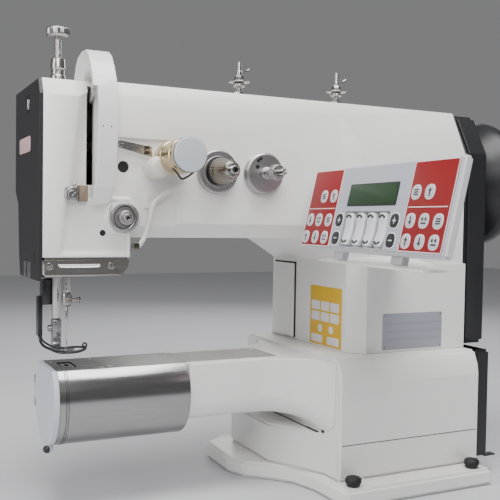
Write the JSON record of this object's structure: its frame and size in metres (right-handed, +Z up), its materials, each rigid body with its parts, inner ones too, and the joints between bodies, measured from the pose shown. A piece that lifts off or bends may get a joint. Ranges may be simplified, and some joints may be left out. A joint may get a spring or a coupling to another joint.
{
  "type": "cylinder-arm sewing machine",
  "caption": "Industrial cylinder-arm walking-foot sewing machine head with a tall column, steel sleeve arm, rear covers, handwheel and tilting control panel.",
  "frame": {"origin": "on the underside of the foot plate, under the needle's plane and the column", "axes": "+X along the arm from the needle to the handwheel, the operator at -Y, +Z up"},
  "size_m": [0.5215, 0.397, 0.44],
  "materials": {
    "paint": "semi-gloss light grey machine enamel",
    "end_cap_white": "matte light grey enamel",
    "sleeve_steel": "polished steel with fine lengthwise grain",
    "dark_plate": "ground steel plate",
    "machined_steel": "machined steel",
    "chrome": "bright chrome",
    "satin_chrome": "satin chrome",
    "dark_steel": "blackened steel",
    "bronze_bush": "sintered bronze",
    "brass": "yellow passivated sheet",
    "black_cover": "fine textured black",
    "black_wheel": "satin black",
    "black_knob": "black",
    "rubber": "black rubber",
    "belt": "black rubber belt",
    "hose": "white pneumatic hose",
    "panel_shell": "light grey plastic shell",
    "panel_red": "printed membrane, red and grey",
    "key_grey": "light grey key caps"
  },
  "bodies": {
    "root": {"base_plate": "paint", "base_cap_left": "rubber", "base_cap_right": "rubber", "base_housing": "paint", "cylinder_casting": "paint", "cylinder_sleeve": "sleeve_steel", "needle_plate": "dark_plate", "slide_plate": "sleeve_steel", "bed_plate": "dark_plate", "hook_bush": "bronze_bush", "bobbin_case": "machined_steel", "arm_casting": "paint", "face_plate": "black_cover", "head_lower_plate": "satin_chrome", "upper_rear_cover": "black_cover", "lower_rear_cover": "black_cover", "front_bearing": "machined_steel", "rear_bush": "bronze_bush", "take_up_guard": "paint", "motor": "dark_steel", "timing_belt": "belt", "presser_spring": "machined_steel", "presser_bush": "chrome", "tension_base": "satin_chrome", "second_tension_base": "satin_chrome", "solenoid": "brass", "thread_bracket": "satin_chrome", "air_hose": "hose", "thread_post_left": "chrome", "thread_post_right": "chrome", "panel_bracket": "paint"},
    "main_shaft": {"arm_shaft": "machined_steel", "needle_bar_crank": "dark_steel", "upper_pulley": "dark_steel", "handwheel": "black_wheel"},
    "hook": {"hook_shaft": "machined_steel", "lower_pulley": "dark_steel", "rotary_hook": "chrome"},
    "bobbin_body": {"bobbin": "machined_steel"},
    "end_cap_body": {"end_cap": "end_cap_white"},
    "door_body": {"side_door": "paint"},
    "take_up_body": {"take_up_lever": "chrome"},
    "needle_bar_body": {"needle_bar": "chrome", "needle_clamp": "machined_steel", "needle": "chrome"},
    "presser_body": {"presser_bar": "chrome", "presser_foot": "machined_steel"},
    "outer_foot_body": {"outer_foot": "dark_steel"},
    "feed_dog_body": {"feed_dog": "machined_steel"},
    "pressure_screw_body": {"pressure_screw": "chrome"},
    "tension_knob_body": {"tension_knob": "black_knob"},
    "second_nut_body": {"second_tension_nut": "satin_chrome"},
    "check_disc_body": {"check_spring_disc": "satin_chrome"},
    "release_lever_body": {"release_lever": "satin_chrome"},
    "panel_body": {"panel_housing": "panel_shell", "panel_membrane": "panel_red"},
    "rocker_1": {"rocker_key_1": "key_grey"},
    "rocker_2": {"rocker_key_2": "key_grey"},
    "rocker_3": {"rocker_key_3": "key_grey"},
    "rocker_4": {"rocker_key_4": "key_grey"}
  },
  "joints": [
    {"name": "shaft_turn", "type": "hinge", "parent": "root", "child": "main_shaft", "pos_m": [0, 0, 0.312], "axis": [1, 0, 0], "continuous": true},
    {"name": "hook_turn", "type": "hinge", "parent": "root", "child": "hook", "pos_m": [0, 0, 0.098], "axis": [1, 0, 0], "continuous": true},
    {"name": "bobbin_turn", "type": "hinge", "parent": "root", "child": "bobbin_body", "pos_m": [-0.3325, 0, 0.098], "axis": [1, 0, 0], "continuous": true},
    {"name": "end_cap_swing", "type": "hinge", "parent": "root", "child": "end_cap_body", "pos_m": [-0.3425, 0.0455, 0.1015], "axis": [0, 0, -1], "range_deg": [0, 110]},
    {"name": "side_door_swing", "type": "hinge", "parent": "root", "child": "door_body", "pos_m": [-0.0605, 0.0965, 0.178], "axis": [0, 0, -1], "range_deg": [0, 100]},
    {"name": "take_up_swing", "type": "hinge", "parent": "root", "child": "take_up_body", "pos_m": [-0.3172, -0.002, 0.338], "axis": [1, 0, 0], "range_deg": [0, 64]},
    {"name": "needle_bar_slide", "type": "slide", "parent": "root", "child": "needle_bar_body", "axis": [0, 0, 1], "range_m": [-0.032, 0.002]},
    {"name": "presser_lift", "type": "slide", "parent": "root", "child": "presser_body", "axis": [0, 0, 1], "range_m": [-0.011, 0.004], "deforming": ["presser_spring"]},
    {"name": "outer_foot_lift", "type": "slide", "parent": "root", "child": "outer_foot_body", "axis": [0, 0, 1], "range_m": [-0.011, 0.006]},
    {"name": "feed_slide", "type": "slide", "parent": "root", "child": "feed_dog_body", "axis": [0, 1, 0], "range_m": [-0.003, 0.003]},
    {"name": "pressure_screw_turn", "type": "hinge", "parent": "root", "child": "pressure_screw_body", "pos_m": [-0.331, 0.016, 0.43], "axis": [0, 0, 1], "range_deg": [-360, 360]},
    {"name": "tension_turn", "type": "hinge", "parent": "root", "child": "tension_knob_body", "pos_m": [-0.2, -0.07, 0.31], "axis": [0, -1, 0], "range_deg": [-360, 360]},
    {"name": "second_tension_turn", "type": "hinge", "parent": "root", "child": "second_nut_body", "pos_m": [-0.153, -0.082, 0.31], "axis": [0, -1, 0], "range_deg": [-360, 360]},
    {"name": "check_spring_turn", "type": "hinge", "parent": "root", "child": "check_disc_body", "pos_m": [-0.288, -0.057, 0.2665], "axis": [0, -1, 0], "range_deg": [-45, 45]},
    {"name": "release_lever_swing", "type": "hinge", "parent": "root", "child": "release_lever_body", "pos_m": [-0.293, -0.056, 0.331], "axis": [0, 1, 0], "range_deg": [-3, 3]},
    {"name": "panel_tilt", "type": "hinge", "parent": "root", "child": "panel_body", "pos_m": [-0.11284, -0.17661, 0.23517], "axis": [-0.0366, -0.9993, 0], "range_deg": [-12, 12]},
    {"name": "rocker_1_tilt", "type": "hinge", "parent": "panel_body", "child": "rocker_1", "pos_m": [-0.11697, -0.14864, 0.25937], "axis": [-0.0366, -0.9993, 0], "range_deg": [-5, 5], "stiffness_Nm_per_rad": 0.05},
    {"name": "rocker_2_tilt", "type": "hinge", "parent": "panel_body", "child": "rocker_2", "pos_m": [-0.11759, -0.16548, 0.25937], "axis": [-0.0366, -0.9993, 0], "range_deg": [-5, 5], "stiffness_Nm_per_rad": 0.05},
    {"name": "rocker_3_tilt", "type": "hinge", "parent": "panel_body", "child": "rocker_3", "pos_m": [-0.11821, -0.18232, 0.25937], "axis": [-0.0366, -0.9993, 0], "range_deg": [-5, 5], "stiffness_Nm_per_rad": 0.05},
    {"name": "rocker_4_tilt", "type": "hinge", "parent": "panel_body", "child": "rocker_4", "pos_m": [-0.11882, -0.19916, 0.25937], "axis": [-0.0366, -0.9993, 0], "range_deg": [-5, 5], "stiffness_Nm_per_rad": 0.05}
  ],
  "couplings": [
    {"joint": "hook_turn", "follows": "shaft_turn", "ratio": 2}
  ]
}
